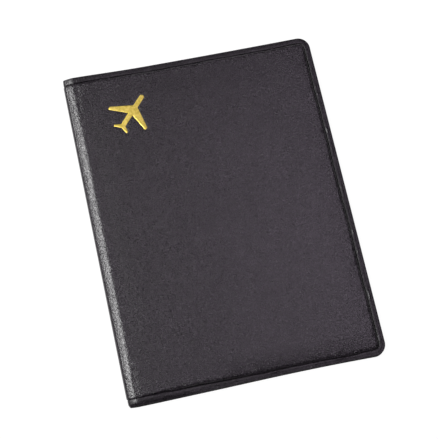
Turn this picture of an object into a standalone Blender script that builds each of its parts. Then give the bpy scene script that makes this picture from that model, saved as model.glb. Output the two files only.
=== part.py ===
"""A passport cover, closed and lying on its back cover.

Each cover is a padded sandwich (outer skin, foam, board, lining) welded round its rim, with a
pocket sheet welded inside it. A soft rounded spine joins the two covers along two creases.

Frame: metres. +X points to the fore edge, +Y to the head, +Z out of the front cover. The origin
is under the middle of the closed cover, on the surface it lies on.
"""

import math

import bmesh
import bpy
from mathutils import Matrix, Vector

# Outside of the closed cover
WIDTH = 0.105
HEIGHT = 0.140
THICKNESS = 0.005
FORE_CORNER_RADIUS = 0.005

# Sheet thicknesses
SKIN = 0.0006
FOAM = 0.0004
BOARD = 0.00035
LINING = 0.0002
POCKET_SHEET = 0.0002
LAMINATE_GAP = 0.00005  # between two sheets that are glued or welded together

# Welded rim of each cover
RIM_WIDTH = 0.0025
RIM_DROP = 0.00135  # how far the rim lies below the padded panel, on the pocket's length
RIM_DROP_AT_SPINE = 0.0002
WELD_HALF_WIDTH = 0.0002
WELD_DEPTH = 0.00015
RIM_EDGE_BEVEL = 0.00015
PANEL_SHOULDER = 0.0025  # width over which the panel rises from the weld to its full height
SHOULDER_BREAK = 0.001  # its steep first part, which ends SHOULDER_DIP below the panel
SHOULDER_DIP = 0.00018
HOLLOW_MOUTH = RIM_WIDTH + 0.0008  # from the edge to the space for the padding, at the rim
HOLLOW_TOP = HOLLOW_MOUTH + 0.0009  # and right under the panel, where the shoulder leans in

# Pockets
POCKET_WIDTH = 0.093  # from the fore edge to the pocket's free edge
POCKET_SLACK = 0.0003  # between the empty pocket sheet and the lining
POCKET_EDGE_INSET = 0.0001
CARD_POCKET_HEIGHT = 0.044
CARD_POCKET_BOTTOMS = {"card_pocket_lower": -0.0672, "card_pocket_upper": -0.0085}
CARD_POCKET_SIDE_MARGIN = 0.001
CARD_NOTCH_WIDTH = 0.022
CARD_NOTCH_DEPTH = 0.005

# Foil aeroplane, pressed into the front cover
STAMP_CENTRE = (-0.02755, 0.04945)
STAMP_HEADING = math.radians(48.1)  # of the nose, from +X
STAMP_THICKNESS = 0.00006
STAMP_DEPTH = 0.00012
STAMP_CLEARANCE = 0.00012

CREASE_GAP = 0.0003  # between the spine and the edge of each cover
EDGE_CLEARANCE = 0.0003  # between an inner sheet and the inside of the skin
CORNER_STEPS = 10
RAMP_STEPS = 8
SPINE_STEPS = 20
CUT_OVERSHOOT = 0.010
SMALLEST_RADIUS = 0.0005
SHARP_ANGLE = math.radians(30)

# Derived places
MID_Z = THICKNESS / 2
HALF_WIDTH = WIDTH / 2
HALF_HEIGHT = HEIGHT / 2
SPINE_RADIUS = THICKNESS / 2
SPINE_CENTRE_X = -HALF_WIDTH + SPINE_RADIUS
COVER_START_X = SPINE_CENTRE_X + CREASE_GAP
POCKET_START_X = HALF_WIDTH - POCKET_WIDTH

# A crease here lets the opened spine take up its own developed length, flat on the table
CREASE_OFFSET = math.pi / 4 * (SPINE_RADIUS - SKIN / 2)
CREASE_X = SPINE_CENTRE_X - CREASE_OFFSET
PIVOTS = {
    "back_body": Vector((0, 0, 0)),
    "spine_body": Vector((CREASE_X, 0, MID_Z - CREASE_OFFSET)),
    "front_body": Vector((CREASE_X, 0, MID_Z + CREASE_OFFSET)),
}
BODY_PARENTS = {"spine_body": "back_body", "front_body": "spine_body"}


def clear_scene():
    for obj in list(bpy.data.objects):
        bpy.data.objects.remove(obj, do_unlink=True)


def make_pivots():
    """One empty for each body, on the axis that the body turns about."""
    empties = {}
    for name, place in PIVOTS.items():
        empty = bpy.data.objects.new(name, None)
        bpy.context.collection.objects.link(empty)
        empty.empty_display_size = 0.01
        empties[name] = empty
    for name, empty in empties.items():
        parent = BODY_PARENTS.get(name)
        if parent:
            empty.parent = empties[parent]
            empty.location = PIVOTS[name] - PIVOTS[parent]
        else:
            empty.location = PIVOTS[name]
    return empties


def make_material(name, colour, roughness, metallic=0.0):
    material = bpy.data.materials.new(name)
    material.use_nodes = True
    shader = material.node_tree.nodes["Principled BSDF"]
    shader.inputs["Base Color"].default_value = (*colour, 1.0)
    shader.inputs["Roughness"].default_value = roughness
    shader.inputs["Metallic"].default_value = metallic
    material.diffuse_color = (*colour, 1.0)
    return material


def smoothstep(value):
    value = min(max(value, 0.0), 1.0)
    return value * value * (3 - 2 * value)


def rim_drop(x):
    """The rim leaves the spine almost level with the panel and drops to the pocket's level."""
    share = smoothstep((x - SPINE_CENTRE_X) / (POCKET_START_X - SPINE_CENTRE_X))
    return RIM_DROP_AT_SPINE + (RIM_DROP - RIM_DROP_AT_SPINE) * share


def arc(centre, radius, start, end, steps):
    """Points on an arc, its two ends included; the angles are in degrees."""
    points = []
    for step in range(steps + 1):
        angle = math.radians(start + (end - start) * step / steps)
        points.append((centre[0] + radius * math.cos(angle), centre[1] + radius * math.sin(angle)))
    return points


def cover_outline(inset, start_x, edge_xs=()):
    """A cover seen from above, pulled in by inset on its three free sides, anticlockwise.

    edge_xs adds points along the tail and the head, for an edge that isn't straight in Z.
    """
    radius = max(FORE_CORNER_RADIUS - inset, SMALLEST_RADIUS)
    fore = HALF_WIDTH - inset
    head = HALF_HEIGHT - inset
    tail_points = [(start_x, -head)] + [(x, -head) for x in edge_xs]
    corner_x = fore - radius
    corner_y = head - radius
    tail_corner = arc((corner_x, -corner_y), radius, -90, 0, CORNER_STEPS)
    head_corner = arc((corner_x, corner_y), radius, 0, 90, CORNER_STEPS)
    head_points = [(x, head) for x in reversed(edge_xs)] + [(start_x, head)]
    return tail_points + tail_corner + head_corner + head_points


def finish_object(name, mesh_data, body, material, empties):
    """Closes a bmesh into an object of its body, with smooth shading across soft edges."""
    bmesh.ops.recalc_face_normals(mesh_data, faces=mesh_data.faces)
    bmesh.ops.transform(mesh_data, matrix=Matrix.Translation(-PIVOTS[body]), verts=mesh_data.verts)
    mesh = bpy.data.meshes.new(name)
    mesh_data.to_mesh(mesh)
    mesh_data.free()
    mesh.materials.append(material)
    mesh.shade_smooth()
    mesh.set_sharp_from_angle(angle=SHARP_ANGLE)
    obj = bpy.data.objects.new(name, mesh)
    bpy.context.collection.objects.link(obj)
    obj.parent = empties[body]
    return obj


def loft(loops):
    """A closed solid through loops of equal length, capped at its first and last loop."""
    mesh_data = bmesh.new()
    rings = [[mesh_data.verts.new(point) for point in loop] for loop in loops]
    for lower, upper in zip(rings, rings[1:]):
        for index in range(len(lower)):
            after = (index + 1) % len(lower)
            mesh_data.faces.new((lower[index], lower[after], upper[after], upper[index]))
    mesh_data.faces.new(rings[0])
    mesh_data.faces.new(rings[-1])
    return mesh_data


def plate(outline, low_z, high_z):
    return loft([[(x, y, z) for x, y in outline] for z in (low_z, high_z)])


def side_z(outward, height):
    """Z of a level that lies this far from the middle plane, towards one cover's outside."""
    return MID_Z + outward * height


def cover_skin_mesh(outward):
    """The moulded outer skin: padded panel, pressed weld line and flat rim, hollow inside."""
    ramp_length = POCKET_START_X - SPINE_CENTRE_X
    ramp = [SPINE_CENTRE_X + ramp_length * step / RAMP_STEPS for step in range(RAMP_STEPS + 1)]
    # Each row is the distance in from the edge, the depth below the panel and whether it drops
    profile = (
        (HOLLOW_TOP, SKIN, False),
        (HOLLOW_MOUTH, SKIN, True),
        (0.0, SKIN, True),
        (0.0, RIM_EDGE_BEVEL, True),
        (RIM_EDGE_BEVEL, 0.0, True),
        (RIM_WIDTH - WELD_HALF_WIDTH, 0.0, True),
        (RIM_WIDTH, WELD_DEPTH, True),
        (RIM_WIDTH + WELD_HALF_WIDTH, 0.0, True),
        (RIM_WIDTH + SHOULDER_BREAK, SHOULDER_DIP, False),
        (RIM_WIDTH + PANEL_SHOULDER, 0.0, False),
    )
    loops = []
    for inset, depth, drops in profile:
        loop = []
        for x, y in cover_outline(inset, COVER_START_X - CUT_OVERSHOOT, ramp):
            drop = rim_drop(x) if drops else 0.0
            loop.append((x, y, side_z(outward, THICKNESS / 2 - depth - drop)))
        loops.append(loop)
    mesh_data = loft(loops)
    # The spine side is open, so the overshoot is cut off there and the cut is filled
    cut = bmesh.ops.bisect_plane(
        mesh_data,
        geom=mesh_data.verts[:] + mesh_data.edges[:] + mesh_data.faces[:],
        plane_co=(COVER_START_X, 0, 0),
        plane_no=(1, 0, 0),
        clear_inner=True,
    )
    edges = [item for item in cut["geom_cut"] if isinstance(item, bmesh.types.BMEdge)]
    bmesh.ops.contextual_create(mesh_data, geom=edges)
    return mesh_data


def spine_mesh():
    """The rounded spine: half a tube whose rim and weld line run on from those of the covers."""
    rim_radius = SPINE_RADIUS - RIM_DROP_AT_SPINE
    half = (
        (HALF_HEIGHT, rim_radius),
        (HALF_HEIGHT - RIM_WIDTH + WELD_HALF_WIDTH, rim_radius),
        (HALF_HEIGHT - RIM_WIDTH, rim_radius - WELD_DEPTH),
        (HALF_HEIGHT - RIM_WIDTH - WELD_HALF_WIDTH, rim_radius),
        (HALF_HEIGHT - RIM_WIDTH - PANEL_SHOULDER, SPINE_RADIUS),
    )
    stations = [(-y, radius) for y, radius in half] + [*reversed(half)]
    loops = []
    for y, radius in stations:
        outer = arc((SPINE_CENTRE_X, MID_Z), radius, 90, 270, SPINE_STEPS)
        inner = arc((SPINE_CENTRE_X, MID_Z), SPINE_RADIUS - SKIN, 270, 90, SPINE_STEPS)
        loops.append([(x, y, z) for x, z in outer + inner])
    return loft(loops)


def spine_lining_mesh():
    outer_radius = SPINE_RADIUS - SKIN - 2 * LAMINATE_GAP
    outer = arc((SPINE_CENTRE_X, MID_Z), outer_radius, 90, 270, SPINE_STEPS)
    inner = arc((SPINE_CENTRE_X, MID_Z), outer_radius - LINING, 270, 90, SPINE_STEPS)
    return loft([[(x, y, z) for x, z in outer + inner] for y in (-HALF_HEIGHT, HALF_HEIGHT)])


def card_pocket_outline(bottom):
    """A strip whose upper edge has a shallow round notch for the finger."""
    left = POCKET_START_X + CARD_POCKET_SIDE_MARGIN
    right = HALF_WIDTH - RIM_WIDTH - CARD_POCKET_SIDE_MARGIN
    top = bottom + CARD_POCKET_HEIGHT
    notch_radius = (CARD_NOTCH_WIDTH**2 / 4 + CARD_NOTCH_DEPTH**2) / (2 * CARD_NOTCH_DEPTH)
    half_angle = math.degrees(math.asin(CARD_NOTCH_WIDTH / 2 / notch_radius))
    centre = ((left + right) / 2, top - CARD_NOTCH_DEPTH + notch_radius)
    notch = arc(centre, notch_radius, -90 + half_angle, -90 - half_angle, CORNER_STEPS)
    return [(left, bottom), (right, bottom), (right, top), *notch, (left, top)]


def round_corners(corners, steps=6):
    """A polygon whose corners (x, y, radius) are replaced by arcs tangent to their sides."""
    points = []
    for index, (x, y, radius) in enumerate(corners):
        if not radius:
            points.append((x, y))
            continue
        before_x, before_y, _ = corners[index - 1]
        after_x, after_y, _ = corners[(index + 1) % len(corners)]
        before = math.atan2(before_y - y, before_x - x)
        after = math.atan2(after_y - y, after_x - x)
        opening = (after - before + math.pi) % math.tau - math.pi
        middle = before + opening / 2
        reach = radius / math.sin(abs(opening) / 2)
        centre = (x + reach * math.cos(middle), y + reach * math.sin(middle))
        sweep = math.copysign(math.pi - abs(opening), -opening)
        start = middle + math.pi - sweep / 2
        points += arc(centre, radius, math.degrees(start), math.degrees(start + sweep), steps)
    return points


def aeroplane_outline(grow=0.0):
    """Straight fuselage, swept wings and tailplane, nose up, in metres about its centre."""
    half = (
        (0.00098, 0.00965, 0.00085),  # nose
        (0.00098, 0.00380, 0.00020),  # front of the wing root
        (0.00915, -0.00190, 0.00050),  # front of the wing tip
        (0.00890, -0.00325, 0.00040),  # back of the wing tip
        (0.00102, -0.00030, 0.00020),  # back of the wing root
        (0.00098, -0.00595, 0.00020),  # front of the tailplane root
        (0.00320, -0.00755, 0.00028),  # front of the tailplane tip
        (0.00308, -0.00845, 0.00024),  # back of the tailplane tip
    )
    notch = (0.0, -0.00735, 0.0)
    port = [(-x, y, radius) for x, y, radius in reversed(half)]
    points = [Vector(point) for point in round_corners([*half, notch, *port])]
    if not grow:
        return points
    grown = []
    for index, point in enumerate(points):
        before = (point - points[index - 1]).normalized()
        after = (points[(index + 1) % len(points)] - point).normalized()
        # The points run clockwise, so the left of each side is outside
        normal = Vector((-before.y - after.y, before.x + after.x)).normalized()
        side = Vector((-before.y, before.x))
        grown.append(point + normal * (grow / normal.dot(side)))
    return grown


def stamp_plate(grow, low_z, high_z):
    turn = Matrix.Rotation(STAMP_HEADING - math.pi / 2, 2)
    centre = Vector(STAMP_CENTRE)
    outline = [turn @ point + centre for point in aeroplane_outline(grow)]
    return plate([(point.x, point.y) for point in reversed(outline)], low_z, high_z)


def add_stamp(front_skin, foil, empties):
    """The foil, and the shallow recess that the hot die leaves round it."""
    floor = THICKNESS - STAMP_DEPTH
    cutter = finish_object(
        "stamp_cutter",
        stamp_plate(STAMP_CLEARANCE, floor, THICKNESS + STAMP_DEPTH),
        "front_body",
        foil,
        empties,
    )
    cutter.hide_render = True
    cutter.display_type = "WIRE"
    recess = front_skin.modifiers.new("stamp_recess", "BOOLEAN")
    recess.operation = "DIFFERENCE"
    recess.object = cutter
    low_z = floor + LAMINATE_GAP
    foil_mesh = stamp_plate(0.0, low_z, low_z + STAMP_THICKNESS)
    finish_object("aeroplane_foil", foil_mesh, "front_body", foil, empties)


def add_cover(side, outward, materials, empties):
    """One cover's skin, padding, board, lining and passport pocket, and the skin's object."""
    body = f"{side}_body"
    skin = finish_object(
        f"{side}_cover_skin", cover_skin_mesh(outward), body, materials["skin"], empties
    )
    start_x = COVER_START_X + EDGE_CLEARANCE
    padding_inset = HOLLOW_TOP + EDGE_CLEARANCE
    lining_inset = HOLLOW_MOUTH + 2 * EDGE_CLEARANCE
    top = THICKNESS / 2 - SKIN
    layers = (
        ("foam_pad", padding_inset, FOAM, "foam"),
        ("stiffener_board", padding_inset, BOARD, "board"),
        ("lining", lining_inset, LINING, "lining"),
    )
    for name, inset, thick, material in layers:
        top -= LAMINATE_GAP
        outline = cover_outline(inset, start_x)
        mesh_data = plate(outline, side_z(outward, top), side_z(outward, top - thick))
        finish_object(f"{side}_{name}", mesh_data, body, materials[material], empties)
        top -= thick
    top -= POCKET_SLACK
    outline = cover_outline(POCKET_EDGE_INSET, POCKET_START_X)
    mesh_data = plate(outline, side_z(outward, top), side_z(outward, top - POCKET_SHEET))
    finish_object(f"{side}_passport_pocket", mesh_data, body, materials["pocket"], empties)
    return skin, top - POCKET_SHEET


def main():
    clear_scene()
    empties = make_pivots()
    materials = {
        "skin": make_material("black_leather_skin", (0.030, 0.026, 0.029), 0.5),
        "foam": make_material("white_foam", (0.75, 0.75, 0.72), 0.9),
        "board": make_material("grey_board", (0.33, 0.31, 0.28), 0.85),
        "lining": make_material("black_lining", (0.014, 0.014, 0.015), 0.7),
        "pocket": make_material("black_pocket_film", (0.020, 0.020, 0.022), 0.35),
        "foil": make_material("gold_foil", (0.83, 0.60, 0.17), 0.3, 1.0),
    }
    add_cover("back", -1, materials, empties)
    front_skin, pocket_level = add_cover("front", 1, materials, empties)
    strip_top = pocket_level - LAMINATE_GAP
    for name, bottom in CARD_POCKET_BOTTOMS.items():
        mesh_data = plate(
            card_pocket_outline(bottom),
            side_z(1, strip_top),
            side_z(1, strip_top - POCKET_SHEET),
        )
        finish_object(name, mesh_data, "front_body", materials["pocket"], empties)
    finish_object("spine_skin", spine_mesh(), "spine_body", materials["skin"], empties)
    lining = spine_lining_mesh()
    finish_object("spine_lining", lining, "spine_body", materials["lining"], empties)
    add_stamp(front_skin, materials["foil"], empties)


main()
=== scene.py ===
"""The looks of a passport holder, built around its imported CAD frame.

Lengths are in millimetres until a mesh is made. The axes are the frame's own: +X towards the
fore edge, +Y towards the head, +Z out of the front cover. The head and the tail are the upper and
lower ends, as on a book. "Inset" is the distance in from the cover's outline.
"""

import math

import bpy
import numpy as np
from mathutils import Matrix, Vector, geometry


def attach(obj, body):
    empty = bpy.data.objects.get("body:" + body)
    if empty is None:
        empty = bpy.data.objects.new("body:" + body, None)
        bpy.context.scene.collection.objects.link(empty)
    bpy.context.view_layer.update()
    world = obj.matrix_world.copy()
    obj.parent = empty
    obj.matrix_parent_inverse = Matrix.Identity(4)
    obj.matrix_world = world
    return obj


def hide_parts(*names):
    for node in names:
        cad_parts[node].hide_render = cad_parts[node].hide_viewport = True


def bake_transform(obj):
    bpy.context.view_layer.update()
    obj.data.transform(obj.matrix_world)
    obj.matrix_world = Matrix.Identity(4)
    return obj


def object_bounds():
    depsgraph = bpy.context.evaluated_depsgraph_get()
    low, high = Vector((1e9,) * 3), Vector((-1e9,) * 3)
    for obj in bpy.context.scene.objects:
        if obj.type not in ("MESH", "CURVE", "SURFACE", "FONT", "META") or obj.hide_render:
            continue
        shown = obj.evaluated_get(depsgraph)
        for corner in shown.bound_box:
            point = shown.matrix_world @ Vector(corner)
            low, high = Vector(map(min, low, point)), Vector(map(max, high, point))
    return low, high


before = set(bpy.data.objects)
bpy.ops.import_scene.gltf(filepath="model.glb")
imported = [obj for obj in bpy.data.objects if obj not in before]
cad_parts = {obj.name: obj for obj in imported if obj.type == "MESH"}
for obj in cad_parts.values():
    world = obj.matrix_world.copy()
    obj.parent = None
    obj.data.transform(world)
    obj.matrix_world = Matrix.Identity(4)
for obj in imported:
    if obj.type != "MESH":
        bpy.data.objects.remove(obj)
cad_low, cad_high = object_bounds()

MM = 0.001
LOW = np.array(cad_low) / MM
HIGH = np.array(cad_high) / MM
SPINE_X = LOW[0]
FORE_X = HIGH[0]
HALF_LENGTH = HIGH[1]
THICKNESS = HIGH[2]
MID_Z = THICKNESS / 2

# Covers
SKIN = 0.6
CORNER_RADIUS = 5.0
RIM_DROP = 1.35  # how far the pressed rim lies below the padded panel
RIM_DROP_AT_SPINE = 0.25
RAMP_START = 2.5  # the rim sinks between these two distances from the spine
RAMP_END = 34.0
END_BOW = 0.3  # how much further out the head and tail edges lie at their ends than half-way
END_BOW_LEVEL = 0.35  # the share of END_BOW that is taken off everywhere
TAIL_WAVE = 0.25  # the tail edge stands this far out near the spine, and in near the fore corner
TAIL_WAVE_CREST = 22.0  # the crest's distance from the spine
TAIL_WAVE_HALF = 56.0  # from crest to trough
FLARE = 0.27  # the cover is this much wider on each side at the head than in its middle
SHOULDER = 8.0  # the grid is fine from the weld in to this far past it
PANEL_X = SPINE_X + 8  # from here on the columns are spaced as on the panel

# The weld line. WELD is its nominal inset, and the grid line that follows it
WELD = 2.5
WELD_REACH = 9.0  # the grid bends to follow the weld in to this inset
WELD_WAVES = ((41.0, 0.10), (17.0, 0.06), (7.3, 0.035))
WELD_SHIFT_FORE = -0.05
WELD_SHIFT_HEAD = 0.15
WELD_SHIFT_TAIL = -0.42
WELD_TAIL_RISE = 1.03  # added to the tail's shift at the spine, and gone this far from it:
WELD_TAIL_RUN = 78.0
CALM_START = 16.0  # nearer to a fore corner than this the line goes back to its nominal inset
CALM_RUN = 12.0
FULL_WELD_MARK = 1.5  # the highest value of the skin's "weld" attribute

# The rounding of the spine, seen from the head: an arc, then a slope that levels out
NOSE_RADIUS = 1.6
NOSE_TURN = math.radians(67)

# Inner layers, by their distance below the panel's top
LAYER_GAP = 0.05
FOAM_UNDERSIDE = 1.05
BOARD = 0.35
LINING = 0.2
LINING_UNDER_COVER = 1.5
LINING_INSET = 3.4
LINING_STEP_X = -44.0  # here the lining's margin steps in, ahead of the pocket
PAD_INSET = 6.0
PAD_START = SPINE_X + 6.8

# Pockets, by their distance from the middle of the holder
POCKET_WIDTH = 93.0
POCKET_SHEET = 0.2
POCKET_LEVEL = 0.3
POCKET_HEM = 1.6
POCKET_BULGE = 0.16
CARD_LEVEL = 0.05
CARD_HEIGHT = 44.0
CARD_BOTTOMS = {"card_pocket_lower": -67.2, "card_pocket_upper": -8.5}
CARD_SIDE_MARGIN = 1.0
CARD_NOTCH = (22.0, 5.0)  # width and depth of the finger's notch
CARD_WELD = 1.3

# The foil stamp
STAMP_CENTRE = (-27.6, 49.5)
STAMP_HEADING = math.radians(48.1)
STAMP_DEPTH = 0.10
STAMP_SHOULDER = 0.9  # the surface round the stamp sinks over this distance
FOIL = 0.06
FOIL_EDGE = 0.015  # its thickness at the edge, which is bevelled over FOIL_BEVEL
FOIL_BEVEL = 0.16
FOIL_TOP_GAP = 0.012  # both keep the foil's faces clear of the skin's
FOIL_UNDERSIDE_GAP = 0.008

# Half of the aeroplane's outline: across, along the fuselage, corner radius
AEROPLANE = (
    (0.98, 9.65, 0.85),
    (0.98, 3.80, 0.20),
    (9.15, -1.90, 0.50),
    (8.90, -3.25, 0.40),
    (1.02, -0.30, 0.20),
    (0.98, -5.95, 0.20),
    (3.20, -7.55, 0.28),
    (3.08, -8.45, 0.24),
)
AEROPLANE_TAIL_NOTCH = (0.0, -7.35, 0.0)


# ---------------------------------------------------------------- small maths


def smoothstep(t):
    """From 0 at t = 0 to 1 at t = 1, level at both."""
    t = np.clip(t, 0.0, 1.0)
    return t * t * (3.0 - 2.0 * t)


def hump(distance, width):
    return np.exp(-((distance / width) ** 2))


def ripple(t, phase, waves):
    """A sum of sines that never repeats over the cover: waves are (length, height) pairs."""
    total = np.zeros_like(np.asarray(t, float))
    for turn, (length, height) in enumerate(waves):
        total += height * np.sin(2 * math.pi * t / length + phase * (1.7 + turn) + 2.1 * turn)
    return total


def graded(length, first, growth):
    """Distances from 0 to length whose steps grow by a constant factor."""
    steps = [first]
    while sum(steps) < length:
        steps.append(steps[-1] * growth)
    marks = np.concatenate([[0.0], np.cumsum(steps)])
    return marks * (length / marks[-1])


def even(start, end, step):
    """Even marks from start to end, no further apart than step."""
    return np.linspace(start, end, max(2, int(math.ceil(abs(end - start) / step)) + 1))


# ---------------------------------------------------------------- plan of the covers


def wandering(to_corner, shift, along, phase):
    """The weld line's real inset. It wanders, except near the fore corners, where it is WELD."""
    window = 1 - smoothstep((CALM_START - to_corner) / CALM_RUN)
    return WELD + window * (shift + ripple(along, phase, WELD_WAVES))


def weld_inset(along, edge, phase):
    """The weld line's real inset at places along one edge."""
    if edge == "fore":
        return wandering(HALF_LENGTH - np.abs(along), WELD_SHIFT_FORE, along, phase)
    if edge == "head":
        return wandering(FORE_X - along, WELD_SHIFT_HEAD, along, phase + 1.3)
    towards_spine = 1 - smoothstep((along - SPINE_X) / WELD_TAIL_RUN)
    shift = WELD_SHIFT_TAIL + WELD_TAIL_RISE * towards_spine
    return wandering(FORE_X - along, shift, along, phase + 2.6)


def follow_weld(inset, weld):
    """Moves the grid line at WELD to the real weld line, and its neighbours by less and less."""
    shift = weld - WELD
    inside = inset / WELD
    beyond = np.clip((WELD_REACH - inset) / (WELD_REACH - WELD), 0.0, 1.0)
    return inset + shift * np.where(inset < WELD, inside, beyond)


def plan_grid(across, along, phase):
    """Places the lines of a grid on the cover's plan, with its fore corners rounded.

    It returns x and y, and each point's nominal insets from the fore, head and tail edges.
    Nominally the weld line is at WELD all round."""
    x, y = np.meshgrid(across, along)
    fore, head, tail = FORE_X - x, HALF_LENGTH - y, HALF_LENGTH + y
    insets = np.stack([fore, head, tail])
    bent_fore = follow_weld(fore, weld_inset(y, "fore", phase))
    bent_head = follow_weld(head, weld_inset(x, "head", phase))
    bent_tail = follow_weld(tail, weld_inset(x, "tail", phase))
    nearer_head = y > 0
    end_inset = np.where(nearer_head, bent_head, bent_tail)
    x = np.where(fore < WELD_REACH, FORE_X - bent_fore, x)
    y = np.where(nearer_head, HALF_LENGTH - bent_head, bent_tail - HALF_LENGTH)
    # Near a corner the square rings of the grid become arcs about the corner's centre
    a = CORNER_RADIUS - (FORE_X - x)
    b = CORNER_RADIUS - end_inset
    in_corner = (a > 0) & (b > 0)
    ring = np.maximum(a, b)
    smaller = np.minimum(a, b) / np.maximum(ring, 1e-9)
    angle = np.where(a >= b, smaller, 2.0 - smaller) * math.pi / 4
    side = np.where(nearer_head, 1.0, -1.0)
    corner_x = FORE_X - CORNER_RADIUS + ring * np.cos(angle)
    corner_y = side * (HALF_LENGTH - CORNER_RADIUS + ring * np.sin(angle))
    x, y = np.where(in_corner, corner_x, x), np.where(in_corner, corner_y, y)
    # The padding draws the head and tail edges in between their ends, and the cover flares
    standing_out = END_BOW * ((2 * x / (FORE_X - SPINE_X)) ** 2 - END_BOW_LEVEL)
    wave = TAIL_WAVE * np.cos(math.pi * (x - SPINE_X - TAIL_WAVE_CREST) / TAIL_WAVE_HALF)
    standing_out += np.where(nearer_head, 0.0, wave)
    flare = y / HALF_LENGTH
    out_at_fore = FLARE * flare * smoothstep((x - 20) / 30)
    out_at_spine = FLARE * flare * (1 - smoothstep((x - SPINE_X) / 6))
    return x + out_at_fore - out_at_spine, y * (1 + standing_out / HALF_LENGTH), insets


def rim_lines():
    """Insets of the grid lines over the rim and shoulder, closest at the edge and the weld."""
    edge_band = 0.9
    edge = graded(edge_band, 0.05, 1.5)
    to_weld = WELD - graded(WELD - edge_band, 0.07, 1.35)[::-1]
    from_weld = WELD + graded(SHOULDER, 0.07, 1.28)
    return np.concatenate([edge, to_weld[1:], from_weld[1:]])


def with_fine_stretch(start, end, step, fine):
    """Even lines from start to end; fine is None, or a stretch where they are twice as close."""
    if fine is None:
        return even(start, end, step)
    stretches = (even(start, fine[0], step), even(*fine, step / 2), even(fine[1], end, step))
    return np.unique(np.concatenate(stretches).round(5))


def lines_along(fine=None, step=1.0):
    """Nominal y of the rows, from the tail to the head."""
    rim = rim_lines()
    inner = HALF_LENGTH - rim[-1]
    middle = with_fine_stretch(-inner, inner, step, fine)
    return np.concatenate([-HALF_LENGTH + rim[:-1], middle, (HALF_LENGTH - rim[:-1])[::-1]])


def lines_across(start, fine=None, step=1.0):
    """Nominal x of the columns, from start to the fore edge."""
    rim = rim_lines()
    middle = with_fine_stretch(start, FORE_X - rim[-1], step, fine)
    return np.concatenate([middle[:-1], (FORE_X - rim)[::-1]])


# ---------------------------------------------------------------- the skins


def nose_profile(columns, count=15):
    """The cover's top line, from the spine's middle line to the fore edge.

    It returns x, the height over the middle of the holder, and the normal's x and z. After the
    arc comes a cubic that leaves it without a kink and is level at the end of its run."""
    turn = np.linspace(0.0, NOSE_TURN, count)
    arc_x = SPINE_X + NOSE_RADIUS * (1 - np.cos(turn))
    arc_h = NOSE_RADIUS * np.sin(turn)
    slope = 1 / math.tan(NOSE_TURN)
    run = 1.5 * (MID_Z - arc_h[-1]) / slope
    beyond = columns[columns > arc_x[-1] + 0.1]
    t = np.clip((beyond - arc_x[-1]) / run, 0.0, 1.0)
    height = arc_h[-1] + slope * run * (t - t**3 / 3)
    lean = slope * (1 - t * t)
    length = np.hypot(1.0, lean)
    x = np.concatenate([arc_x, beyond])
    h = np.concatenate([arc_h, height])
    normal_x = np.concatenate([-np.cos(turn), -lean / length])
    normal_z = np.concatenate([np.sin(turn), 1 / length])
    return x, h, normal_x, normal_z


def rim_drop(x):
    """How far the pressed rim lies below the panel."""
    t = smoothstep((x - SPINE_X - RAMP_START) / (RAMP_END - RAMP_START))
    return RIM_DROP_AT_SPINE + (RIM_DROP - RIM_DROP_AT_SPINE) * t


def seam_lift(x, inset):
    """How far the inner sheets rise at the rim to meet the skin, which is higher near the spine."""
    return (RIM_DROP - rim_drop(x)) * (1 - smoothstep((inset - WELD) / 3.3))


def weld_relief(inset, place, plain):
    """Height of the pressed rim over its own level: rounded edge, bead and weld groove.

    place runs along the rim. plain is 1 where the rim is flat, as along the head."""
    edge_radius = 0.16
    bead_inset, bead_width, bead_height = 1.62, 0.28, 0.13
    rim_groove_inset = 1.2
    beside = np.clip(edge_radius - inset, 0, edge_radius)
    edge = edge_radius - np.sqrt(edge_radius**2 - beside**2)
    broken = 0.7 + ripple(place, 0.9, ((9.0, 0.22), (4.1, 0.2), (23.0, 0.2)))
    shaped = 1 - 0.85 * plain
    bead = bead_height * shaped * hump(inset - bead_inset, bead_width) * np.clip(broken, 0.15, 1.3)
    weld_groove = 0.16 * hump(inset - WELD, 0.13)
    rim_groove = 0.09 * shaped * hump(inset - rim_groove_inset, 0.2)
    fall = 0.10 * smoothstep((rim_groove_inset - inset) / rim_groove_inset)
    return bead - (weld_groove + rim_groove) - edge - fall


def tail_fall(inset_from_tail, x):
    """Beside the spine the open tail end turns down towards its cut edge."""
    near = 1 - smoothstep((x - SPINE_X - 12) / 26)
    return 0.42 * near * smoothstep(1.0 - inset_from_tail)


def puckers(inset, place, x, phase):
    """Short folds where the padded panel is drawn down into the weld. The spine has none."""
    pull = ripple(place, phase, ((5.3, 0.5), (3.4, 0.45), (11.0, 0.5), (29.0, 0.5)))
    depth = np.clip(pull - 0.45, 0, None)
    return -0.22 * depth * hump(inset - WELD - 0.75, 0.8) * smoothstep((x - SPINE_X - 3) / 5)


def panel_rise(insets, x):
    """0 at the weld and 1 on the panel: steep at first like a stuffed edge, then a gentle slope."""
    # Along the tail the gentle slope is deepest away from the spine
    sunk = smoothstep((x + 24) / 22) * (1 - 0.4 * smoothstep((x - 38) / 12))
    steep_width = 1.3
    # At the fore, head and tail edges: the steep part's power, the gentle part's width and share
    edges = (
        (2.3, 12.0, 0.30),
        (1.8, 14.0, 0.12),
        (2.3, 8.0, 0.08 + 0.40 * sunk),
    )
    rise = np.ones_like(x)
    for inset, (power, gentle, share) in zip(insets, edges):
        first = 1 - (1 - np.clip((inset - WELD) / steep_width, 0, 1)) ** power
        later = smoothstep((inset - WELD + gentle) / (2 * gentle)) * 2 - 1
        rise = rise * ((1 - share) * first + share * np.clip(later, 0, 1))
    return rise


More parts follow.
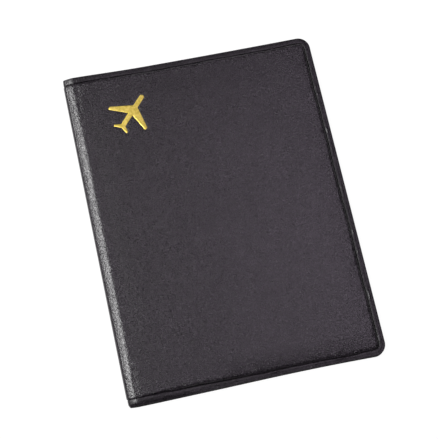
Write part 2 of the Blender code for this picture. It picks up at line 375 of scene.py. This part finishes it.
def swell(x, y, crown):
    """The panel's crown, and the dips beside the spine where the skin bends when it opens."""
    across = np.clip((x - SPINE_X) / (FORE_X - SPINE_X), 0, 1)
    hinge = 0.09 * hump(x - SPINE_X - 7.2, 3.6)
    tight = 0.14 * hump(x - SPINE_X - 4.7, 1.3) * smoothstep((np.abs(y) - 42) / 22)
    crowned = crown * np.sin(math.pi * across) ** 0.8
    return (crowned - hinge) * (1 - (y / HALF_LENGTH) ** 4) - tight


def skin_displacement(x, y, insets, phase, crown):
    """How far the outer surface lies out from the top line, along its normal."""
    from_fore, from_head, from_tail = insets
    inset = insets.min(0)
    # The added length keeps the ripples of the head and tail apart from those of the fore edge
    place = np.where(from_fore < insets[1:].min(0), y, x + 200)
    plain = smoothstep(from_fore - from_head + 0.5) * (from_head < from_tail)
    rise = panel_rise(insets, x)
    relief = weld_relief(inset, place, plain) * (1 - rise)
    relief += puckers(inset, place, x, phase) - tail_fall(from_tail, x)
    return -rim_drop(x) * (1 - rise) + relief + swell(x, y, crown) * rise


def closed_mesh(name, top, under, faces_on_top, rim, mirrored=False):
    """A closed mesh from two layers of matching points.

    Both have faces_on_top, and walls join them along the rim's points."""
    count = len(top)
    ahead = np.roll(rim, -1)
    walls = np.stack([ahead, rim, rim + count, ahead + count], -1)
    groups = [faces_on_top, faces_on_top[:, ::-1] + count, walls]
    faces = [face.tolist() for group in groups for face in (group[:, ::-1] if mirrored else group)]
    mesh = bpy.data.meshes.new(name)
    mesh.from_pydata((np.concatenate([top, under]) * MM).tolist(), [], faces)
    slots = np.zeros(len(faces), np.int32)
    slots[-len(walls) :] = 1
    mesh.polygons.foreach_set("material_index", slots)
    mesh.shade_smooth()
    mesh.set_sharp_from_angle(angle=math.radians(38))
    piece = bpy.data.objects.new(name, mesh)
    bpy.context.scene.collection.objects.link(piece)
    return piece


def closed_sheet(name, outer, inner, mirrored=False):
    """A closed mesh between two grids of points, with rows towards +Y and columns towards +X."""
    rows, columns, _ = outer.shape
    index = np.arange(rows * columns).reshape(rows, columns)
    corners = [index[:-1, :-1], index[:-1, 1:], index[1:, 1:], index[1:, :-1]]
    quads = np.stack(corners, -1).reshape(-1, 4)
    rim = np.concatenate([index[0, :], index[1:, -1], index[-1, -2::-1], index[-2:0:-1, 0]])
    return closed_mesh(name, outer.reshape(-1, 3), inner.reshape(-1, 3), quads, rim, mirrored)


def attribute(piece, name, values):
    """Gives each point a value. values is one grid, which both faces of a closed sheet share."""
    both = np.concatenate([values.ravel(), values.ravel()]).astype(np.float32)
    layer = piece.data.attributes.new(name, "FLOAT", "POINT")
    layer.data.foreach_set("value", both)


def turned_to_back(points):
    """The same points mirrored from the front cover to the back cover."""
    turned = points.copy()
    turned[..., 2] = THICKNESS - turned[..., 2]
    return turned


class Cover:
    """One half of the holder: half of the spine and one cover.

    phase sets its ripples, and crown is how far its panel swells."""

    def __init__(self, name, phase, crown, back):
        self.name = name
        self.phase = phase
        self.crown = crown
        self.back = back

    def grid(self, columns, along, start=SPINE_X):
        """The top line from start on, swept along the cover: points, normals and insets."""
        profile = nose_profile(columns)
        kept = profile[0] > start - 0.01
        line_x, line_h, normal_x, normal_z = (values[kept] for values in profile)
        x, y, insets = plan_grid(line_x, along, self.phase)
        points = np.stack([x, y, np.broadcast_to(MID_Z + line_h, x.shape)], -1)
        normals = np.zeros_like(points)
        normals[..., 0], normals[..., 2] = normal_x, normal_z
        return points, normals, insets

    def displacement(self, points, insets):
        return skin_displacement(points[..., 0], points[..., 1], insets, self.phase, self.crown)

    def sheet(self, name, outer, inner):
        if self.back:
            outer, inner = turned_to_back(outer), turned_to_back(inner)
        return closed_sheet(name, outer, inner, mirrored=self.back)

    def join(self, piece):
        """Bakes the transform of a piece that runs over the spine into its mesh. It is not bent
        across this cover's crease.
        """
        if self.back:
            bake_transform(piece)
        else:
            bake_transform(piece)

    def ride(self, piece):
        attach(piece, f"{self.name}_cover")


def near_spine(end):
    """Columns close enough together to bend round the spine."""
    return even(SPINE_X + 1.2, end, 0.32)


def weld_mark(x, insets):
    """How far the skin is darkened and dulled: up to FULL_WELD_MARK in the weld, and faintly on the
    rim along its groove. It is partly a burnished weld and partly painted shade in these grooves.
    """
    from_fore, from_head, from_tail = insets
    inset = insets.min(0)
    away_from_spine = smoothstep((x - SPINE_X - 2) / 5)
    dashes = np.clip(0.85 + ripple(x, 0.4, ((2.7, 0.25), (5.9, 0.25), (17.0, 0.2))), 0.5, 1.0)
    at_head = FULL_WELD_MARK * dashes * hump(inset - WELD, 0.3)
    at_tail = 0.5 * hump(inset - WELD, 0.24)
    at_fore = 1.2 * hump(inset - WELD, 0.28)
    on_rim = 0.35 * hump(inset - 1.15, 0.2)
    elsewhere = np.maximum(np.where(from_tail <= from_fore, at_tail, at_fore), on_rim)
    nearest_head = from_head <= np.minimum(from_fore, from_tail)
    return np.where(nearest_head, at_head, elsewhere) * (0.5 + 0.5 * away_from_spine)


def make_skin(cover, stamp=None):
    """Half of the outer skin. Its attributes say where it is pressed or bent, and where painted
    shade darkens its weld and rim grooves along with a burnished weld.
    """
    fine_x = fine_y = None
    if stamp is not None:
        margin = 1.2
        low, high = stamp.min(0) - margin, stamp.max(0) + margin
        fine_x, fine_y = (low[0], high[0]), (low[1], high[1])
    columns = np.concatenate([near_spine(PANEL_X)[:-1], lines_across(PANEL_X, fine_x)])
    points, normals, insets = cover.grid(columns, lines_along(fine_y))
    out = cover.displacement(points, insets)
    if stamp is not None:
        x, y = points[..., 0], points[..., 1]
        out -= STAMP_DEPTH * (1 - smoothstep(outline_distance(x, y, stamp) / STAMP_SHOULDER))
    inset = insets.min(0)
    edge_lift = 0.15 * (1 - smoothstep(inset / 0.3))  # the skin is thinner at its cut edge
    outer = points + normals * out[..., None]
    inner = points + normals * (out - SKIN + edge_lift)[..., None]
    piece = cover.sheet(f"{cover.name}_skin", outer, inner)
    attribute(piece, "pressed", 1 - smoothstep((inset - WELD) / 0.8))
    # The weld attribute paints shade into the weld and rim grooves, together with the burnish of
    # the weld.
    attribute(piece, "weld", weld_mark(points[..., 0], insets))
    from_spine = points[..., 0] - SPINE_X
    attribute(piece, "spine", 1 - smoothstep((from_spine - 3.5) / 4))
    attribute(piece, "side", 1 - smoothstep((from_spine - 0.95) / 0.45))
    cover.join(piece)
    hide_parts(f"{cover.name}_cover_skin", "spine_skin")
    return piece


def make_lining(cover):
    """Half of the lining. It reaches out to the rim beside the spine, but not under the pocket."""
    bend_end = SPINE_X + 12.2
    columns = np.concatenate([near_spine(bend_end)[:-1], lines_across(bend_end)])
    columns = np.append(columns[columns < FORE_X - LINING_INSET - 0.05], FORE_X - LINING_INSET)
    points, normals, insets = cover.grid(columns, lines_along())
    out = cover.displacement(points, insets)
    x, y = points[..., 0], points[..., 1]
    inset = insets.min(0)
    # Beside the spine the lining lies right under the skin, and further on below the board
    close = 0.08
    away = smoothstep((x - SPINE_X - 1.5) / 4.5)
    flat_level = close + (LINING_UNDER_COVER - SKIN - close) * away
    under_skin = SKIN - out + LAYER_GAP
    top_level = np.maximum(under_skin, SKIN + flat_level - seam_lift(x, inset))
    pressed = 0.5 * LINING * hump(inset - WELD, 0.25)
    # Under the pocket the margin is drawn in, so that the pocket's weld has the rim to itself
    beside_spine = 1 - smoothstep((x - LINING_STEP_X) / 2.5)
    reach = HALF_LENGTH - LINING_INSET + (LINING_INSET - 0.4) * beside_spine
    y = np.clip(y, -reach, reach)
    points[..., 1] = y
    outer = points - normals * top_level[..., None]
    inner = points - normals * (top_level + LINING - pressed)[..., None]
    piece = cover.sheet(f"{cover.name}_inner_lining", outer, inner)
    cover.join(piece)
    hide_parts(f"{cover.name}_lining", "spine_lining")
    return piece


def pad_grid(cover):
    """The grid of the foam and the board: points, normals and insets."""
    beside_spine = even(PAD_START, PANEL_X, 0.7)[:-1]
    columns = np.concatenate([beside_spine, lines_across(PANEL_X, step=2.0)])
    columns = np.append(columns[columns < FORE_X - PAD_INSET - 0.05], FORE_X - PAD_INSET)
    reach = HALF_LENGTH - PAD_INSET
    rows = lines_along(step=2.0)
    rows = np.concatenate([[-reach], rows[np.abs(rows) < reach - 0.05], [reach]])
    return cover.grid(columns, rows, PAD_START)


def make_foam(cover):
    """The pad fills the space between the board and the skin."""
    points, normals, insets = pad_grid(cover)
    out = cover.displacement(points, insets)
    outer = points + normals * (out - SKIN - LAYER_GAP)[..., None]
    inner = points.copy()
    inner[..., 2] = THICKNESS - FOAM_UNDERSIDE
    thinnest = 0.06
    outer[..., 2] = np.maximum(outer[..., 2], inner[..., 2] + thinnest)
    piece = cover.sheet(f"{cover.name}_foam", outer, inner)
    cover.ride(piece)
    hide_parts(f"{cover.name}_foam_pad")
    return piece


def make_board(cover):
    """The stiffener, flat under the foam."""
    points = pad_grid(cover)[0]
    outer = points.copy()
    outer[..., 2] = THICKNESS - FOAM_UNDERSIDE - LAYER_GAP
    inner = points.copy()
    inner[..., 2] = outer[..., 2] - BOARD
    piece = cover.sheet(f"{cover.name}_board", outer, inner)
    cover.ride(piece)
    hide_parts(f"{cover.name}_stiffener_board")
    return piece


def make_pocket(cover):
    """The long pocket's sheet, welded to the rim on three sides. Its free edge faces the spine."""
    start = FORE_X - POCKET_WIDTH
    rim = start + graded(4.0, 0.12, 1.3)
    columns = np.concatenate([rim[:-1], lines_across(rim[-1])])
    x, y, insets = plan_grid(columns, lines_along(), cover.phase)
    inset = insets.min(0)
    sink = 0.09 * hump(inset - WELD, 0.2) + 0.05 * hump(x - start - POCKET_HEM, 0.22)
    thin_edge = 0.06 * smoothstep((0.4 - (x - start)) / 0.4)
    bulge = 0.0
    if cover.back:
        bulge = POCKET_BULGE * panel_rise(insets, x) * smoothstep((x - start) / 14)
    level = MID_Z + POCKET_LEVEL - bulge + seam_lift(x, inset)
    inner = np.stack([x, y, level + sink + thin_edge], -1)
    outer = np.stack([x, y, level + POCKET_SHEET], -1)
    piece = cover.sheet(f"{cover.name}_pocket", outer, inner)
    cover.ride(piece)
    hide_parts(f"{cover.name}_passport_pocket")
    return piece


def make_card_pocket(cover, node, bottom):
    """A strip with a round notch for the finger, welded along its sides and its lower edge."""
    left = FORE_X - POCKET_WIDTH + CARD_SIDE_MARGIN
    right = FORE_X - WELD - CARD_SIDE_MARGIN
    border = 3.0
    side = graded(border, 0.1, 1.35)
    middle_x = even(left + border, right - border, 0.8)
    middle_up = even(border, CARD_HEIGHT - border, 1.6)
    columns = np.concatenate([left + side[:-1], middle_x, (right - side[:-1])[::-1]])
    rows = np.concatenate([side[:-1], middle_up, (CARD_HEIGHT - side[:-1])[::-1]])
    x, up = np.meshgrid(columns, rows)
    width, depth = CARD_NOTCH
    radius = (width**2 / 4 + depth**2) / (2 * depth)
    aside = np.minimum(np.abs(x - (left + right) / 2), width / 2)
    notch = np.sqrt(radius**2 - aside**2) - (radius - depth)
    y = bottom + up - notch * (up / CARD_HEIGHT) ** 3
    from_sides = np.minimum(x - left, right - x)
    from_edges = np.minimum(from_sides, up)
    from_top = CARD_HEIGHT - up
    sink = 0.08 * hump(from_edges - CARD_WELD, 0.2) + 0.05 * hump(from_top - POCKET_HEM, 0.22)
    thin_edge = 0.05 * smoothstep((0.35 - np.minimum(from_edges, from_top)) / 0.35)
    level = MID_Z + CARD_LEVEL
    inner = np.stack([x, y, level + sink + thin_edge], -1)
    outer = np.stack([x, y, np.full_like(x, level + POCKET_SHEET)], -1)
    piece = cover.sheet(node.replace("pocket", "sleeve"), outer, inner)
    cover.ride(piece)
    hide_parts(node)
    return piece


def make_foil(cover, outline):
    """The aeroplane of foil, pressed into the skin and following its surface."""
    spacing, margin = 0.7, 0.3
    low, high = outline.min(0), outline.max(0)
    grid_x, grid_y = np.meshgrid(even(low[0], high[0], spacing), even(low[1], high[1], spacing))
    chosen = outline_distance(grid_x, grid_y, outline, signed=True) < -margin
    inside = np.stack([grid_x[chosen], grid_y[chosen]], -1)
    plan = np.concatenate([outline, inset_outline(outline, FOIL_BEVEL), inside])
    count = len(outline)
    ring = [(i, (i + 1) % count) for i in range(count)]
    edges = ring + [(count + a, count + b) for a, b in ring]
    corners = [Vector(p) for p in plan]
    result = geometry.delaunay_2d_cdt(corners, edges, [list(range(count))], 1, 1e-5)
    points, _, triangles, origins = result[:4]
    plan = np.array([tuple(p) for p in points])
    faces = np.array(triangles)
    where = np.array([origin[0] if origin else -1 for origin in origins])
    rim = np.array([int(np.flatnonzero(where == i)[0]) for i in range(count)])
    px, py = plan.T
    insets = np.stack([FORE_X - px, HALF_LENGTH - py, HALF_LENGTH + py])
    rise = skin_displacement(px, py, insets, cover.phase, cover.crown)
    ground = THICKNESS + rise - STAMP_DEPTH
    on_edge = (where >= 0) & (where < count)
    height = np.where(on_edge, FOIL_EDGE, FOIL)
    top = np.column_stack([plan, ground + height + FOIL_TOP_GAP])
    under = np.column_stack([plan, ground + FOIL_UNDERSIDE_GAP])
    if not anticlockwise(outline):
        rim = rim[::-1]
    piece = closed_mesh("foil_aeroplane", top, under, faces, rim)
    cover.ride(piece)
    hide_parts("aeroplane_foil")
    return piece


# ---------------------------------------------------------------- the stamped aeroplane


def rounded(corners, arc_steps=5):
    """The closed outline through these corners (x, y, radius), each one rounded by its radius."""
    outline = []
    count = len(corners)
    for i, (cx, cy, radius) in enumerate(corners):
        here = np.array((cx, cy))
        if radius == 0:
            outline.append(here)
            continue
        before = np.array(corners[i - 1][:2]) - here
        after = np.array(corners[(i + 1) % count][:2]) - here
        before /= np.linalg.norm(before)
        after /= np.linalg.norm(after)
        half_angle = math.acos(np.clip(before @ after, -1, 1)) / 2
        bisector = (before + after) / np.linalg.norm(before + after)
        centre = here + bisector * radius / math.sin(half_angle)
        start = here + before * radius / math.tan(half_angle) - centre
        end = here + after * radius / math.tan(half_angle) - centre
        first = math.atan2(start[1], start[0])
        sweep = (math.atan2(end[1], end[0]) - first + math.pi) % (2 * math.pi) - math.pi
        for step in range(arc_steps + 1):
            angle = first + sweep * step / arc_steps
            outline.append(centre + radius * np.array((math.cos(angle), math.sin(angle))))
    return np.array(outline)


def aeroplane():
    """The outline in the frame's x and y, turned to its heading; the nose points along it."""
    right = list(AEROPLANE)
    left = [(-x, y, r) for x, y, r in reversed(AEROPLANE)]
    outline = rounded(right + [AEROPLANE_TAIL_NOTCH] + left)
    forward = np.array((math.cos(STAMP_HEADING), math.sin(STAMP_HEADING)))
    sideways = np.array((forward[1], -forward[0]))
    return np.array(STAMP_CENTRE) + outline[:, :1] * sideways + outline[:, 1:] * forward


def anticlockwise(outline):
    """Whether a closed outline runs anticlockwise, by the sign of its area."""
    ahead = np.roll(outline, -1, axis=0)
    return np.sum(outline[:, 0] * ahead[:, 1] - ahead[:, 0] * outline[:, 1]) > 0


def inset_outline(outline, amount):
    """The outline moved inwards by this amount, point by point."""
    before = outline - np.roll(outline, 1, axis=0)
    after = np.roll(outline, -1, axis=0) - outline
    before /= np.linalg.norm(before, axis=1)[:, None]
    after /= np.linalg.norm(after, axis=1)[:, None]
    normal_before = np.stack([-before[:, 1], before[:, 0]], -1)
    normal_after = np.stack([-after[:, 1], after[:, 0]], -1)
    middle = normal_before + normal_after
    middle /= np.maximum(1e-9, np.sum(middle * normal_before, axis=1))[:, None]
    return outline + middle * amount * (1 if anticlockwise(outline) else -1)


def outline_distance(x, y, outline, signed=False):
    """Distance of each point from a closed outline. Inside it is 0, or negative if signed."""
    px, py = x.ravel(), y.ravel()
    nearest = np.full(px.shape, np.inf)
    inside = np.zeros(px.shape, bool)
    for (ax, ay), (bx, by) in zip(outline, np.roll(outline, -1, axis=0)):
        dx, dy = bx - ax, by - ay
        length_squared = dx * dx + dy * dy
        t = np.clip(((px - ax) * dx + (py - ay) * dy) / length_squared, 0, 1)
        nearest = np.minimum(nearest, np.hypot(px - ax - t * dx, py - ay - t * dy))
        crosses = (ay > py) != (by > py)
        with np.errstate(divide="ignore", invalid="ignore"):
            cross_x = ax + (py - ay) * dx / dy
        inside ^= crosses & (px < cross_x)
    within = -nearest if signed else 0.0
    return np.where(inside, within, nearest).reshape(x.shape)


# ---------------------------------------------------------------- materials


class Shader:
    """A material with a Principled BSDF, and short calls that add nodes to it."""

    def __init__(self, name, **values):
        self.material = bpy.data.materials.new(name)
        self.material.use_nodes = True
        self.tree = self.material.node_tree
        self.surface = self.tree.nodes["Principled BSDF"]
        for socket, value in values.items():
            self.surface.inputs[socket.replace("_", " ")].default_value = value
        self.place = self.add("ShaderNodeTexCoord").outputs["Object"]

    def add(self, kind, sockets=None, **settings):
        node = self.tree.nodes.new(kind)
        for key, value in settings.items():
            setattr(node, key, value)
        for socket, value in (sockets or {}).items():
            self.feed(node.inputs[socket], value)
        return node

    def feed(self, socket, value):
        if isinstance(value, bpy.types.NodeSocket):
            self.tree.links.new(value, socket)
        else:
            socket.default_value = value

    def product(self, first, *others):
        """The factors multiplied, from left to right."""
        for other in others:
            node = self.add("ShaderNodeMath", {0: first, 1: other}, operation="MULTIPLY")
            first = node.outputs[0]
        return first

    def total(self, first, second):
        return self.add("ShaderNodeMath", {0: first, 1: second}, operation="ADD").outputs[0]

    def noise(self, size_mm, detail=2.0, roughness=0.5):
        sockets = {
            "Vector": self.place,
            "Scale": 1 / (size_mm * MM),
            "Detail": detail,
            "Roughness": roughness,
        }
        return self.add("ShaderNodeTexNoise", sockets).outputs["Fac"]

    def cells(self, size_mm, feature="SMOOTH_F1", place=None):
        sockets = {"Vector": place or self.place, "Scale": 1 / (size_mm * MM)}
        node = self.add("ShaderNodeTexVoronoi", sockets, feature=feature)
        if feature == "SMOOTH_F1":
            node.inputs["Smoothness"].default_value = 0.6
        return node.outputs["Distance"]

    def ramp(self, value, *stops):
        """A colour for each value. stops are (position, colour) pairs."""
        node = self.add("ShaderNodeValToRGB", {"Fac": value})
        elements = node.color_ramp.elements
        while len(elements) < len(stops):
            elements.new(0.5)
        for element, (position, colour) in zip(elements, stops):
            element.position = position
            element.color = (*colour, 1)
        return node.outputs["Color"]

    def range(self, value, low, high, to_low, to_high):
        sockets = {0: value, 1: low, 2: high, 3: to_low, 4: to_high}
        return self.add("ShaderNodeMapRange", sockets).outputs[0]

    def bump(self, height, depth_mm):
        sockets = {"Height": height, "Distance": depth_mm * MM, "Strength": 1.0}
        return self.add("ShaderNodeBump", sockets).outputs["Normal"]

    def read(self, name):
        """A value that the piece's points carry under this name."""
        return self.add("ShaderNodeAttribute", attribute_name=name).outputs["Fac"]

    def set(self, socket, value):
        self.feed(self.surface.inputs[socket], value)


def pebble(shader, size_mm):
    """Height from 0 to 1 of an embossed pebble grain, warped so that no row of cells shows."""
    warp = shader.add("ShaderNodeTexNoise", {"Vector": shader.place, "Scale": 1 / (2.2 * MM)})
    shift = {0: warp.outputs["Color"], 1: (0.5, 0.5, 0.5)}
    centred = shader.add("ShaderNodeVectorMath", shift, operation="SUBTRACT")
    scaled = shader.add("ShaderNodeVectorMath", {0: centred.outputs[0]}, operation="SCALE")
    scaled.inputs["Scale"].default_value = 1.6 * MM
    sockets = {0: shader.place, 1: scaled.outputs[0]}
    moved = shader.add("ShaderNodeVectorMath", sockets, operation="ADD")
    large = shader.cells(size_mm, place=moved.outputs[0])
    small = shader.cells(size_mm * 0.45, place=moved.outputs[0])
    large_height = shader.range(large, 0.05, 0.75, 1.0, 0.0)
    small_height = shader.range(small, 0.05, 0.75, 1.0, 0.0)
    fine = shader.noise(0.16, 3.0)
    cells = shader.total(shader.product(large_height, 0.62), shader.product(small_height, 0.25))
    return shader.total(cells, shader.product(fine, 0.13))


def leather_material():
    """Black embossed leather cloth, flattened on the pressed rim. Its colour holds painted shade in
    the weld and rim grooves (along with a burnished weld) and on the pressed rim, and painted
    glints in the grain.
    """
    shader = Shader("black_leather_cloth")
    weld = shader.read("weld")
    pressed = shader.read("pressed")
    spine = shader.read("spine")
    side = shader.read("side")
    # Painted shade: colour and gloss are darkened down to a tenth in the weld groove, and more
    # faintly in the rim groove. This partly stands for a burnished weld.
    burnish_and_groove_shade = shader.range(weld, 0.0, FULL_WELD_MARK, 1.0, 0.1)

    # The grain is shallow on the pressed rim, deep over the spine and pulled flat on its side
    height = pebble(shader, 0.62)
    sharp = shader.range(shader.noise(0.46, 1.0), 0.62, 0.70, 0.0, 0.8)
    depth = shader.product(
        shader.range(pressed, 0.0, 1.0, 1.0, 0.45),
        shader.range(spine, 0.0, 1.0, 1.0, 1.6),
        shader.range(side, 0.0, 1.0, 1.0, 0.1),
    )
    relief = shader.product(shader.total(height, sharp), depth)
    shader.set("Normal", shader.bump(relief, 0.06))

    tone = shader.ramp(height, (0.18, (0.0098, 0.0078, 0.0102)), (0.8, (0.0195, 0.0160, 0.0205)))
    clouds = shader.range(shader.noise(26.0, 3.0), 0.3, 0.7, 0.9, 1.1)
    speckle = shader.range(shader.noise(0.55, 3.0, roughness=0.6), 0.36, 0.64, 0.2, 2.0)
    # Painted glints: small spots of the colour are made up to five and a half times lighter,
    # standing in for grain facets that catch the light.
    painted_glints = shader.range(shader.noise(0.36, 1.0), 0.66, 0.77, 1.0, 5.5)
    # Painted shade: the pressed rim, which lies below the padded panel, is a fifth darker.
    rim_shade = shader.range(pressed, 0.0, 1.0, 1.0, 0.8)
    coloured = shader.add("ShaderNodeVectorMath", {0: tone}, operation="SCALE")
    shade = shader.product(clouds, speckle, burnish_and_groove_shade, rim_shade, painted_glints)
    shader.feed(coloured.inputs["Scale"], shade)
    shader.set("Base Color", coloured.outputs[0])

    gloss = shader.range(pressed, 0.0, 1.0, 0.5, 0.36)
    gloss_on_side = shader.range(side, 0.0, 1.0, 1.0, 1.7)
    shader.set("Specular IOR Level", shader.product(gloss, gloss_on_side, burnish_and_groove_shade))
    rough = shader.range(shader.noise(0.5, 2.0), 0.3, 0.7, 0.20, 0.36)
    shader.set("Roughness", shader.total(rough, shader.product(pressed, 0.05)))
    return shader.material


def cut_edge_material():
    """The raw cut edge of the sheets: the backing's fibres, dull and dark."""
    shader = Shader("cut_edge", Specular_IOR_Level=0.08, Roughness=0.95)
    fibres = shader.noise(0.25, 3.0)
    colour = shader.ramp(fibres, (0.3, (0.006, 0.006, 0.0065)), (0.7, (0.016, 0.015, 0.016)))
    shader.set("Base Color", colour)
    shader.set("Normal", shader.bump(fibres, 0.03))
    return shader.material


def foil_material():
    """Gold foil over the skin's grain, with a mottle where it took less well."""
    shader = Shader("gold_foil", Metallic=1.0)
    mottle = shader.noise(1.1, 4.0, roughness=0.65)
    colour = shader.ramp(mottle, (0.32, (0.50, 0.38, 0.05)), (0.64, (0.79, 0.625, 0.16)))
    shader.set("Base Color", colour)
    shader.set("Roughness", shader.range(shader.noise(0.5, 3.0), 0.3, 0.7, 0.32, 0.5))
    shader.set("Normal", shader.bump(pebble(shader, 0.85), 0.03))
    return shader.material


def lining_material():
    """Thin black film with a fine pressed weave."""
    shader = Shader("black_lining_film", Specular_IOR_Level=0.4)
    threads = []
    sockets = {"Vector": shader.place, "Scale": 1 / (2.4 * MM), "Distortion": 0.3, "Detail": 1.0}
    for axis in ("X", "Y"):
        wave = shader.add("ShaderNodeTexWave", sockets, wave_type="BANDS", bands_direction=axis)
        threads.append(wave.outputs["Fac"])
    weave = shader.product(*threads)
    colour = shader.ramp(weave, (0.0, (0.010, 0.010, 0.011)), (1.0, (0.022, 0.021, 0.023)))
    shader.set("Base Color", colour)
    shader.set("Roughness", shader.range(shader.noise(6.0, 3.0), 0.3, 0.7, 0.5, 0.62))
    shader.set("Normal", shader.bump(weave, 0.03))
    return shader.material


def pocket_material():
    """The pockets' thinner leather cloth, with a finer and shallower grain."""
    shader = Shader("black_pocket_sheet", Specular_IOR_Level=0.45)
    height = pebble(shader, 0.5)
    colour = shader.ramp(height, (0.2, (0.009, 0.0085, 0.0095)), (0.8, (0.019, 0.018, 0.020)))
    shader.set("Base Color", colour)
    shader.set("Roughness", shader.range(shader.noise(8.0, 3.0), 0.3, 0.7, 0.44, 0.56))
    shader.set("Normal", shader.bump(height, 0.035))
    return shader.material


def foam_material():
    """Grey open-celled foam."""
    shader = Shader("grey_foam", Roughness=0.95)
    bubbles = shader.cells(0.35, feature="F1")
    colour = shader.ramp(bubbles, (0.1, (0.10, 0.10, 0.105)), (0.7, (0.24, 0.24, 0.25)))
    shader.set("Base Color", colour)
    shader.set("Normal", shader.bump(bubbles, 0.05))
    return shader.material


def board_material():
    """Grey pulp board with long fibres."""
    shader = Shader("grey_board", Roughness=0.85)
    fibres = shader.noise(0.6, 5.0, roughness=0.7)
    colour = shader.ramp(fibres, (0.3, (0.22, 0.21, 0.19)), (0.7, (0.34, 0.32, 0.29)))
    shader.set("Base Color", colour)
    shader.set("Normal", shader.bump(fibres, 0.02))
    return shader.material


def floor_material():
    """A white acrylic sheet lit from below, so that it stays white in the shadows."""
    shader = Shader("light_table", Roughness=0.9, Specular_IOR_Level=0.05, Emission_Strength=0.98)
    shader.set("Emission Color", (1.0, 1.0, 1.0, 1.0))
    tone = shader.noise(900.0, 1.0)
    colour = shader.ramp(tone, (0.3, (0.05, 0.05, 0.05)), (0.7, (0.06, 0.06, 0.06)))
    shader.set("Base Color", colour)
    return shader.material


# ---------------------------------------------------------------- the pieces


def paint(piece, face, edge):
    """The faces take one material and the cut edges another."""
    piece.data.materials.append(face)
    piece.data.materials.append(edge)


def build_holder():
    leather = leather_material()
    lining = lining_material()
    pocket = pocket_material()
    foam = foam_material()
    board = board_material()
    cut = cut_edge_material()
    gold = foil_material()
    stamp = aeroplane()
    front = Cover("front", 0.4, 0.18, back=False)
    back = Cover("back", 3.1, 0.0, back=True)
    for cover in (front, back):
        paint(make_skin(cover, stamp if cover is front else None), leather, cut)
        paint(make_lining(cover), lining, cut)
        paint(make_foam(cover), foam, foam)
        paint(make_board(cover), board, board)
        paint(make_pocket(cover), pocket, cut)
    for node, bottom in CARD_BOTTOMS.items():
        paint(make_card_pocket(front, node, bottom), pocket, cut)
    paint(make_foil(front, stamp), gold, gold)


# ---------------------------------------------------------------- studio


def build_stage():
    """The floor, 8 m wide and a hair below the holder."""
    floor_mesh = bpy.data.meshes.new("floor")
    reach = 4.0
    level = -0.00005
    signs = ((-1, -1), (1, -1), (1, 1), (-1, 1))
    corners = [(x * reach, y * reach, level) for x, y in signs]
    floor_mesh.from_pydata(corners, [], [(0, 1, 2, 3)])
    floor = bpy.data.objects.new("floor", floor_mesh)
    bpy.context.scene.collection.objects.link(floor)
    floor.data.materials.append(floor_material())


def placed(place, side, up, back):
    """The matrix of a lamp or camera: it looks against back."""
    return Matrix.Translation(place) @ Matrix((side, up, back)).transposed().to_4x4()


def area_light(name, place, size, brightness, colour=(1.0, 1.0, 1.0)):
    """A rectangular softbox aimed at the origin, with its second side nearest to Y.

    Its power is in proportion to its area, so brightness alone sets how bright its face is."""
    light = bpy.data.lights.new(name, "AREA")
    light.shape = "RECTANGLE"
    light.size, light.size_y = size
    light.energy = brightness * math.pi * size[0] * size[1]
    light.color = colour
    lamp = bpy.data.objects.new(name, light)
    bpy.context.scene.collection.objects.link(lamp)
    back = Vector(place).normalized()
    side = Vector((0, 1, 0)).cross(back).normalized()
    lamp.matrix_world = placed(place, side, back.cross(side), back)


def build_lights():
    """A grey room, darker towards the tail, and softboxes over the spine and the panel."""
    world = bpy.data.worlds.new("studio")
    world.use_nodes = True
    tree = world.node_tree
    direction = tree.nodes.new("ShaderNodeSeparateXYZ")
    tree.links.new(tree.nodes.new("ShaderNodeTexCoord").outputs["Generated"], direction.inputs[0])
    strength = tree.nodes.new("ShaderNodeMath")
    strength.operation = "MULTIPLY"
    ramps = (("Y", (-0.9, 0.1, 0.05, 0.5)), ("Z", (0.0, 0.8, 0.2, 0.6)))
    for slot, (axis, values) in enumerate(ramps):
        shade = tree.nodes.new("ShaderNodeMapRange")
        for socket, value in zip(shade.inputs[1:5], values):
            socket.default_value = value
        tree.links.new(direction.outputs[axis], shade.inputs[0])
        tree.links.new(shade.outputs[0], strength.inputs[slot])
    tree.links.new(strength.outputs[0], tree.nodes["Background"].inputs["Strength"])
    bpy.context.scene.world = world
    area_light("key_softbox", (-0.64, 0.22, 1.00), (0.42, 0.95), 17.0)
    area_light("top_softbox", (0.32, 0.26, 1.20), (0.38, 0.62), 2.3, (1.0, 0.86, 1.05))


def build_camera():
    """The view from the tail and spine side, high above the front cover."""
    azimuth, elevation, roll = (math.radians(a) for a in (-20.05, 72.0, 8.15))
    distance = 0.54396
    target = Vector((-0.00159, -0.00278, 0.005))
    level = math.cos(elevation)
    back = Vector((math.sin(azimuth) * level, -math.cos(azimuth) * level, math.sin(elevation)))
    side = Vector((0, 0, 1)).cross(back).normalized()
    up = back.cross(side)
    turned_side = math.cos(roll) * side + math.sin(roll) * up
    turned_up = -math.sin(roll) * side + math.cos(roll) * up
    data = bpy.data.cameras.new("camera")
    data.sensor_fit = "HORIZONTAL"
    data.sensor_width = 36.0
    data.lens = 110.49
    data.clip_start = 0.01
    camera = bpy.data.objects.new("camera", data)
    bpy.context.scene.collection.objects.link(camera)
    camera.matrix_world = placed(target + back * distance, turned_side, turned_up, back)
    bpy.context.scene.camera = camera


bpy.context.scene.view_settings.view_transform = "Standard"
build_camera()
build_lights()
build_stage()
build_holder()
